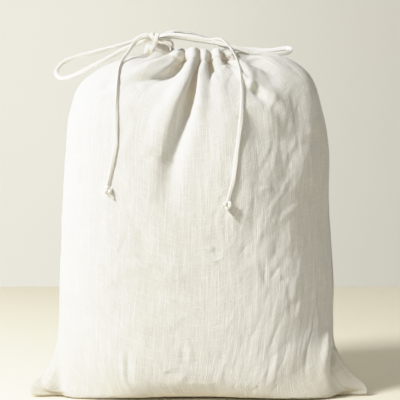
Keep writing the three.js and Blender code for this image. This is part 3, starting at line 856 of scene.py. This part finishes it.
MOST_MOVED = 0.018  # metres
LEFT_SHARE = 0.6  # the filling keeps the body's left tight, so it keeps this share of its movement
settled = settle(start)
move = settled - start
free = np.maximum(smoothstep(start[:, 0], -0.04, 0.06), smoothstep(up_of, 270, 340))
move *= (LEFT_SHARE + (1 - LEFT_SHARE) * free)[:, None]
far = np.linalg.norm(move, axis=1, keepdims=True)
settled = start + move * np.minimum(1, MOST_MOVED / np.maximum(far, 1e-9))
settled[:, 2] = np.maximum(settled[:, 2], CLOTH * MM)
print("the cloth moved", round(1000 * far.mean(), 3), "mm on average,",
      round(1000 * far.max(), 2), "at most")

# %% [markdown]
# ## Creases
# Linen keeps the creases of its last folding and of every hand that squeezed it. They are short,
# crossed at all angles, sharper on one side, and seldom a millimetre high, yet they make the
# difference between cloth and paper. Big ones are listed in a table, in millimetres on the flat cloth.
# Many small ones come from seeded random numbers. Each is a soft ridge or trough added along the
# cloth's outward direction, on a grid fine enough to hold it.


# %% A finer grid
def finer(grid):
    """Puts a new point between every two, on a smooth curve through its four neighbours."""
    for axis in (0, 1):
        g = np.moveaxis(grid, axis, 0)
        padded = np.concatenate([2 * g[:1] - g[1:2], g, 2 * g[-1:] - g[-2:-1]])
        middle = (9 * (padded[1:-2] + padded[2:-1]) - padded[:-3] - padded[3:]) / 16
        made = np.empty((2 * len(g) - 1, *g.shape[1:]))
        made[0::2], made[1::2] = g, middle
        grid = np.moveaxis(made, 0, axis)
    return grid


# %% Ridges and troughs
def crease_height(place, creases):
    """Height in metres of all the creases at every place on the flat cloth."""
    height = np.zeros(place.shape[:2])
    for across, up, turn, long, wide, out in creases:
        c, s = math.cos(math.radians(turn)), math.sin(math.radians(turn))
        dx, dy = place[..., 0] - across, place[..., 1] - up
        along = (dx * c + dy * s) / (long / 2)
        aside = (dy * c - dx * s) / wide + 0.35 * (1 - along**2) * math.copysign(1, out)
        near = (np.abs(along) < 1) & (np.abs(aside) < 4)
        sharp = np.where(aside > 0, aside * 1.7, aside * 0.8)
        height[near] += out * MM * np.exp(-sharp[near] ** 2) * (1 - along[near] ** 2) ** 1.5
    return height


TURN_SPREAD = 12  # degrees by which creases of one kind differ in direction


def random_creases(seed, count, across, up, turns, long, wide, out):
    """Creases in a region. The last four say what to pick from and the ranges of the sizes."""
    random = np.random.default_rng(seed)
    made = [random.uniform(*across, count),
            random.uniform(*up, count),
            random.choice(turns, count) + random.normal(0, TURN_SPREAD, count),
            random.uniform(*long, count),
            random.uniform(*wide, count),
            random.choice([-1, 1], count) * random.uniform(*out, count)]
    return np.stack(made, -1).tolist()


# %% Creases of each panel
# across, up, turn in degrees, length, width, millimetres that it stands out
FRONT_CREASES = [
    [104, 384, -67, 50, 2.6, 1.2], [114, 378, -64, 54, 2.6, -1.3], [124, 372, -60, 46, 2.6, 1.1],
    [96, 392, -70, 40, 2.2, -1.1], [134, 368, -56, 44, 3.0, -1.0], [142, 360, -52, 40, 3.0, 0.9],
    [-74, 388, 58, 46, 2.4, 1.0], [-86, 382, 55, 50, 2.4, -1.1], [-104, 376, 50, 46, 2.8, 0.9],
    [-59, 171, 8, 62, 2.6, 0.9], [-24, 172, -2, 34, 2.2, 0.7], [-16, 153, 0, 52, 2.2, 0.7],
    [-36, 186, 22, 26, 2.4, -0.6], [-7, 98, 97, 30, 2.6, -1.1], [-2, 98, 96, 26, 2.2, 0.8],
    [-32, 123, 15, 38, 2.2, 0.7], [18, 190, -12, 20, 2.2, 1.0], [18, 197, -8, 20, 2.8, -0.7],
    [100, 203, 12, 62, 4.0, 0.7], [100, 190, 8, 56, 5.5, -0.5], [108, 175, -26, 30, 2.8, 0.7],
    [90, 221, 97, 36, 3.6, 0.6], [81, 230, 104, 30, 4.6, -0.6], [70, 205, 60, 40, 4.5, 0.7],
    [84, 176, 80, 34, 4.0, -0.7], [60, 150, 95, 44, 4.0, 0.7], [108, 140, 70, 46, 5.0, 0.8],
    [120, 120, 100, 40, 4.5, -0.8], [-67, 72, 97, 42, 3.0, 1.0], [-54, 76, 92, 34, 3.0, 0.9],
    [-60, 74, 95, 38, 2.6, -1.0], [30, 78, 85, 36, 3.0, 0.7], [88, 74, 92, 44, 2.8, 0.4],
    [80, 76, 95, 40, 2.6, -0.3], [98, 78, 88, 36, 2.6, -0.4], [112, 70, 92, 40, 2.8, 0.4],
    [128, 74, 84, 36, 3.0, -0.4], [-120, 60, 60, 40, 5.0, -0.8], [-110, 150, -20, 50, 4.0, 0.5],
]
CREASE_FAMILIES = [
    # count, across, up, turns, long, wide, out
    (420, (-180, 180), (20, 380), (-25, 10, 80, 100, 35), (14, 60), (1.4, 4.0), (0.14, 0.46)),
    (34, (-150, 160), (60, 330), (20, 70, 110, 150), (40, 90), (6, 12), (0.3, 0.65)),
    (50, (-165, -10), (60, 340), (-25, 15, 60), (30, 80), (3, 7), (0.3, 0.8)),
    (170, (10, 165), (60, 310), (86, 90, 94), (20, 70), (1.4, 2.8), (0.15, 0.42)),
    (70, (40, 160), (110, 300), (30, 50, 130), (14, 44), (2.0, 5.0), (0.12, 0.45)),
    (100, (-150, 140), (50, 112), (84, 92, 98), (16, 44), (1.6, 3.0), (0.12, 0.42)),
]
print(len(FRONT_CREASES), "creases by hand,", sum(row[0] for row in CREASE_FAMILIES), "by chance")


def creases_of_all_kinds(seed):
    made = []
    for i, (count, *ranges) in enumerate(CREASE_FAMILIES):
        made += random_creases(seed + i, count, *ranges)
    return made


# %% [markdown]
# ## Seams and the hem
# The panels are sewn face to face and turned, so the seam is a thin edge with a stitched line
# beside it, plain to see on the flat ears. The hem is turned over and stitched along its lower
# side, and the tie inside makes it swell. All of this is height on the same grid: a groove where
# the thread pulls the cloth down, and a low swelling between the groove and the edge.

# %% Seam and hem relief
SEAM_LINE = 4.5  # millimetres from the seam to its stitched line
HEM_LINE = 1.5  # millimetres above the hem's lower edge


def seam_height(place):
    across, up = place[..., 0], place[..., 1]
    edge = np.minimum(PANEL_HALF - np.abs(across), up)
    groove = -0.8 * np.exp(-(((edge - SEAM_LINE) / 1.5) ** 2))
    welt = 0.5 * smoothstep(SEAM_LINE - edge, 0, 3)
    below_hem = 1 - smoothstep(up, HEM_BOTTOM - 12, HEM_BOTTOM)
    hem = up - HEM_BOTTOM
    hem_groove = -0.6 * np.exp(-(((hem - HEM_LINE) / 1.6) ** 2))
    swelling = 1.1 * np.sin(math.pi * np.clip(hem / (HEM_TOP - HEM_BOTTOM), 0, 1)) ** 0.7
    return ((groove + welt) * below_hem + hem_groove + swelling) * MM


# %% [markdown]
# ## Finishing a panel
# The settled cloth is read back onto a grid twice as fine. The late ridges come first, along the
# outward directions of a copy of the grid whose pleats have been smoothed away, so that the small
# pleats of the neck don't bend them. Creases, seam and hem follow along the cloth's own outward
# directions. Then the right ear is set back a little, so the filled body stands in front of it,
# and the filled front is rolled up off the table. Solidify gives the cloth its thickness, more of
# it in the hem, where two layers lie on each other.

# %% Finish a panel
THIN, HEM_THICK = 0.8 * MM, 1.7 * MM
ON_TABLE, CLEAR = 0.2 * MM, 3.4 * MM  # lowest point at the bottom seam, and of the rolled-up front
ROLLS_UP = (14, 30)  # millimetres up the cloth in which the front leaves the table
EAR_BACK = 4.0 * MM
EAR_CREASE_FOOT, EAR_CREASE_WAY = (158, 31), (22, 21)  # where the ear's crease starts, and its way
EAR_SIDE = (146, 162)  # millimetres across in which the ear begins


def ear_step(place):
    """0 on the body and 1 on the right ear, on the two sides of the crease where the ear begins."""
    across, up = place[..., 0], place[..., 1]
    (foot_across, foot_up), (way_across, way_up) = EAR_CREASE_FOOT, EAR_CREASE_WAY
    beyond = (across - foot_across) * way_up - (up - foot_up) * way_across
    beyond = beyond / math.hypot(way_up, way_across)
    return smoothstep(beyond, -1.5, 4) * smoothstep(across, *EAR_SIDE)


def finish_panel(name, numbers, face, creases, late, node):
    grid = in_frame(finer(settled[numbers]))
    grid = with_ridges(grid, face, late, guide=without_pleats(grid))
    place = on_flat(*grid.shape[:2])
    height = crease_height(place, creases) + seam_height(place)
    grid = grid + outward_of(grid, face) * height[..., None]
    grid[..., 1] += EAR_BACK * ear_step(place)
    clear = CLEAR * smoothstep(place[..., 1], *ROLLS_UP)
    grid[..., 2] = np.maximum(grid[..., 2], np.maximum(clear, ON_TABLE))
    order = np.arange(place[..., 0].size).reshape(place.shape[:2])
    panel = make_object(name, grid.reshape(-1, 3), quads(order, turn_over=face > 0),
                        place.reshape(-1, 3), LINEN)
    thick = panel.vertex_groups.new(name="thick")
    for i in np.flatnonzero(place[..., 1].ravel() >= HEM_BOTTOM):
        thick.add([int(i)], 1.0, "REPLACE")
    shell = panel.modifiers.new("thickness", "SOLIDIFY")
    shell.thickness, shell.offset = HEM_THICK, 1.0
    shell.vertex_group, shell.thickness_vertex_group = "thick", THIN / HEM_THICK
    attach(panel, "root")
    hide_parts(node)
    return panel, grid, outward_of(grid, face)


grids = {}
front, *grids["front"] = finish_panel(
    "front_cloth", number, -1, FRONT_CREASES + creases_of_all_kinds(11), LATE_RIDGES, "front_panel")
back, *grids["back"] = finish_panel(
    "back_cloth", back_number, 1, creases_of_all_kinds(31), [SEAM_STAYS_OUT], "back_panel")

# %% [markdown]
# ## The tie lies on the cloth
# A limp tie rests on whatever is behind it, so the hanging ends are moved back until they touch
# the cloth that has settled there. Each ring of the strip looks straight back for the cloth, and
# the distances are smoothed along the strip, because a strip can't follow every small crease.

# %% Lay the hanging ends on the cloth
TOUCHING = 0.0014  # from the middle of the strip to the cloth
KNOT_TOUCHING = 0.0024
REACH = 0.008  # further away than this, the strip hangs free
MOST_BEHIND = 0.004  # how much further back than the knot the strip may be moved
BACKWARDS = Vector((0, 1, 0))


def lay_on(strip_object, line, knot):
    cloth_tree = BVHTree.FromObject(front, bpy.context.evaluated_depsgraph_get())
    move = np.zeros(len(line))
    for i in range(len(line) // 2, len(line)):
        place, _, _, distance = cloth_tree.ray_cast(Vector(line[i]), BACKWARDS)
        if place is not None and distance < REACH:
            move[i] = distance - TOUCHING
    move = smoothed(move, 25)
    move = np.minimum(move, move[-1] + MOST_BEHIND)
    line[:, 1] += move
    points = np.empty(len(strip_object.data.vertices) * 3)
    strip_object.data.vertices.foreach_get("co", points)
    points = points.reshape(len(line), STRIP_SIDES, 3)
    points[..., 1] += move[:, None]
    strip_object.data.vertices.foreach_set("co", points.ravel())
    knot.data.transform(Matrix.Translation((0, move[-1] + TOUCHING - KNOT_TOUCHING, 0)))
    print(strip_object.name, "moved back by up to", round(1000 * move.max(), 1), "mm")


lay_on(tie_halves["tie_left"], TIE_HALVES["tie_left"]["line"], end_knot_left)
lay_on(tie_halves["tie_right"], TIE_HALVES["tie_right"]["line"], end_knot_right)

# %% [markdown]
# ## Stitches
# A lockstitch shows as a row of short threads, each dipping into the cloth at both ends. One stitch
# is a small tube bent over a low arch, and a row of them is laid along a line on the cloth. All the
# hem's stitches become one mesh and all the seam's another, built from arrays, because hundreds of
# separate objects would be slow to make and to pose.

# %% Rows of stitches
STITCH_LONG, STITCH_GAP, STITCH_THICK = 2.5 * MM, 0.9 * MM, 0.62 * MM
STITCH_SIDES = 6
STITCH_HEIGHTS = np.array([-0.55, 0.35, 0.5, 0.35, -0.55])  # of its rings, in thicknesses
STITCH_FATNESS = np.array([0.5, 1, 1, 1, 0.5])
STITCH_RINGS = len(STITCH_HEIGHTS)


def on_cloth(grid, across, up):
    """Points of a grid at places on the flat cloth, in millimetres."""
    high, wide = grid.shape[:2]
    x = np.clip((np.asarray(across) / PANEL_HALF + 1) / 2 * (wide - 1), 0, wide - 1.001)
    y = np.clip(np.asarray(up) / HEM_TOP * (high - 1), 0, high - 1.001)
    c, r = x.astype(int), y.astype(int)
    fx, fy = (x - c)[:, None], (y - r)[:, None]
    low = grid[r, c] * (1 - fx) + grid[r, c + 1] * fx
    top = grid[r + 1, c] * (1 - fx) + grid[r + 1, c + 1] * fx
    return low * (1 - fy) + top * fy


def stitch_points(side, line, above):
    """Rings of every stitch along a line of places on the flat cloth."""
    grid, outward = grids[side]
    across, up = np.asarray(line, float).T
    fine = np.linspace(0, 1, 1500)
    knots = np.linspace(0, 1, len(across))
    across, up = np.interp(fine, knots, across), np.interp(fine, knots, up)
    path, away = on_cloth(grid, across, up), unit(on_cloth(outward, across, up))
    run = run_along(path)
    turn = np.linspace(0, 2 * math.pi, STITCH_SIDES, endpoint=False)
    size = STITCH_THICK / 2 * STITCH_FATNESS[:, None, None]
    rings = []
    for begin in np.arange(1 * MM, run[-1] - STITCH_LONG, STITCH_LONG + STITCH_GAP):
        at = begin + STITCH_LONG * np.linspace(0, 1, STITCH_RINGS)
        n = unit(points_at(at, run, away))
        p = points_at(at, run, path) + n * (above + STITCH_HEIGHTS * STITCH_THICK)[:, None]
        side_way = unit(np.cross(np.gradient(p, axis=0), n))
        rings.append(p[:, None] + size * (side_way[:, None] * np.cos(turn)[None, :, None]
                                          + n[:, None] * np.sin(turn)[None, :, None]))
    return rings


def stitch_rows(name, rows_of_stitches):
    rings = [ring for row in rows_of_stitches for ring in stitch_points(*row)]
    per = STITCH_SIDES * STITCH_RINGS
    one = tube_faces(STITCH_RINGS, STITCH_SIDES)
    faces = [tuple(i + k * per for i in face) for k in range(len(rings)) for face in one]
    points = np.concatenate([ring.reshape(-1, 3) for ring in rings])
    made = make_object(name, points, faces, points / MM, THREAD)
    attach(made, "root")
    print(name, "has", len(rings), "stitches")


SEAM_END = HEM_BOTTOM - 4
inset = PANEL_HALF - SEAM_LINE
seam_path = [(-inset, SEAM_END), (-inset, SEAM_LINE), (inset, SEAM_LINE), (inset, SEAM_END)]
hem_path = [(-PANEL_HALF + 1, HEM_BOTTOM + HEM_LINE), (PANEL_HALF - 1, HEM_BOTTOM + HEM_LINE)]
stitch_rows("hem_stitches", [("front", hem_path, HEM_THICK), ("back", hem_path, HEM_THICK)])
stitch_rows("seam_stitches", [("front", seam_path, THIN), ("back", seam_path, THIN)])

# %% [markdown]
# The frame needs to know what moves with what. This bag has no joint, so all of it rides on one body,
# and the frame's own tie and knot parts are hidden where the strips and knots made here stand.

for piece, half, end in ((tie_halves["tie_left"], TIE_HALVES["tie_left"], end_knot_left),
                         (tie_halves["tie_right"], TIE_HALVES["tie_right"], end_knot_right)):
    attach(piece, "root")
    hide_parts(*half["nodes"])
    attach(end, "root")
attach(bow_knot, "root")
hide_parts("bow_knot")
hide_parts("end_knot_left")
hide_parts("end_knot_right")

# %% [markdown]
# ## The stage and the light
# The bag stands on a plain cream top with a pale wall behind. One soft key light from the front left
# and above makes the shadows of the ties and lets the right side fall into shade. A dim, even world
# fills the shade with a warm tone. The wall glows with painted light of its own, brighter on the left.

# %% Stage
CREAM = (0.87, 0.825, 0.685)
# The wall's glow is painted light, brighter at its left end than at its right.
WALL, WALL_PAINTED_GLOW = (0.80, 0.79, 0.73), (1.0, 0.985, 0.90)
WALL_PAINTED_LIGHT = (0.40, 0.17)  # how strongly the wall glows at its left end and at its right
WALL_ENDS = (-1100, 1300)  # millimetres


def slab(name, low, high, material):
    (x0, y0, z0), (x1, y1, z1) = low, high
    points = [(x, y, z) for z in (z0, z1) for y in (y0, y1) for x in (x0, x1)]
    sides = [(0, 2, 3, 1), (4, 5, 7, 6), (0, 1, 5, 4), (2, 6, 7, 3), (0, 4, 6, 2), (1, 3, 7, 5)]
    made = make_object(name, points, sides, np.array(points) / MM, material)
    made.data.polygons.foreach_set("use_smooth", np.zeros(len(sides), bool))


def cream_top():
    g = Graph("cream_top")
    g.shader.inputs["Base Color"].default_value = (*CREAM, 1)
    g.shader.inputs["Roughness"].default_value = 0.8
    g.shader.inputs["Specular IOR Level"].default_value = 0.2
    return g.material


def pale_wall():
    """The far wall glows with painted light of its own, brighter on the left."""
    g = Graph("pale_wall")
    g.shader.inputs["Base Color"].default_value = (*WALL, 1)
    g.shader.inputs["Emission Color"].default_value = (*WALL_PAINTED_GLOW, 1)
    place = g.node("ShaderNodeAttribute", {"attribute_name": "cloth"})
    split = g.node("ShaderNodeSeparateXYZ", Vector=place.outputs["Vector"])
    g.put(g.spread(split.outputs[0], *WALL_ENDS, *WALL_PAINTED_LIGHT), g.shader.inputs["Emission Strength"])
    return g.material


slab("table_top", (-4, -4, -0.03), (4, 0.9, 0), cream_top())
slab("wall", (-5, 3.0, -3), (5, 3.05, 4), pale_wall())

# %% Light
AIM = (0, 0, 0.18)  # the middle of the bag
KEY_AZIMUTH, KEY_ELEVATION, KEY_DISTANCE = 61, 37, 1.8  # degrees to the left, degrees up, metres
KEY_SIZE, KEY_POWER, KEY_COLOR = 0.42, 40, (1.0, 1.01, 1.03)  # metres, watts, colour
FILL_COLOR, FILL_STRENGTH = (1.0, 0.96, 0.86), 0.385


def area_light(name, at, size, power, color):
    data = bpy.data.lights.new(name, "AREA")
    data.size, data.energy, data.color = size, power, color
    light = bpy.data.objects.new(name, data)
    light.location = at
    light.rotation_euler = (Vector(AIM) - Vector(at)).to_track_quat("-Z", "Y").to_euler()
    bpy.context.scene.collection.objects.link(light)
    print(name, "at", [round(x, 2) for x in at])


def light_place(azimuth, elevation, distance):
    a, e = math.radians(azimuth), math.radians(elevation)
    return (-distance * math.sin(a) * math.cos(e), -distance * math.cos(a) * math.cos(e),
            AIM[2] + distance * math.sin(e))


area_light("key", light_place(KEY_AZIMUTH, KEY_ELEVATION, KEY_DISTANCE),
           KEY_SIZE, KEY_POWER, KEY_COLOR)
world = bpy.data.worlds.new("fill")
world.use_nodes = True
background = world.node_tree.nodes["Background"]
background.inputs["Color"].default_value = (*FILL_COLOR, 1)
background.inputs["Strength"].default_value = FILL_STRENGTH
bpy.context.scene.world = world

# %% [markdown]
# White cloth in sun is brighter than a screen can show. Instead of cutting it off, the tone curve
# runs straight up to a level and then bends over, so the folds on the lit side keep their shade.

# %% A soft shoulder for the whites
BRIGHTEST = 2.0
STRAIGHT_TO = 0.75
CURVE_AT = (0.5, 0.7, 0.85, 1.0, 1.2, 1.5)  # the tone curve's own points


def shoulder(value):
    """Straight up to a level, then bending smoothly towards white."""
    spare = 1 - STRAIGHT_TO
    return value if value < STRAIGHT_TO else 1 - spare * math.exp(-(value - STRAIGHT_TO) / spare)


view = bpy.context.scene.view_settings
view.view_transform = "Standard"
view.use_curve_mapping = True
view.curve_mapping.white_level = (BRIGHTEST,) * 3
curve = view.curve_mapping.curves[3]
for value in CURVE_AT:
    curve.points.new(value / BRIGHTEST, shoulder(value))
curve.points[-1].location = (1, shoulder(BRIGHTEST))
view.curve_mapping.update()
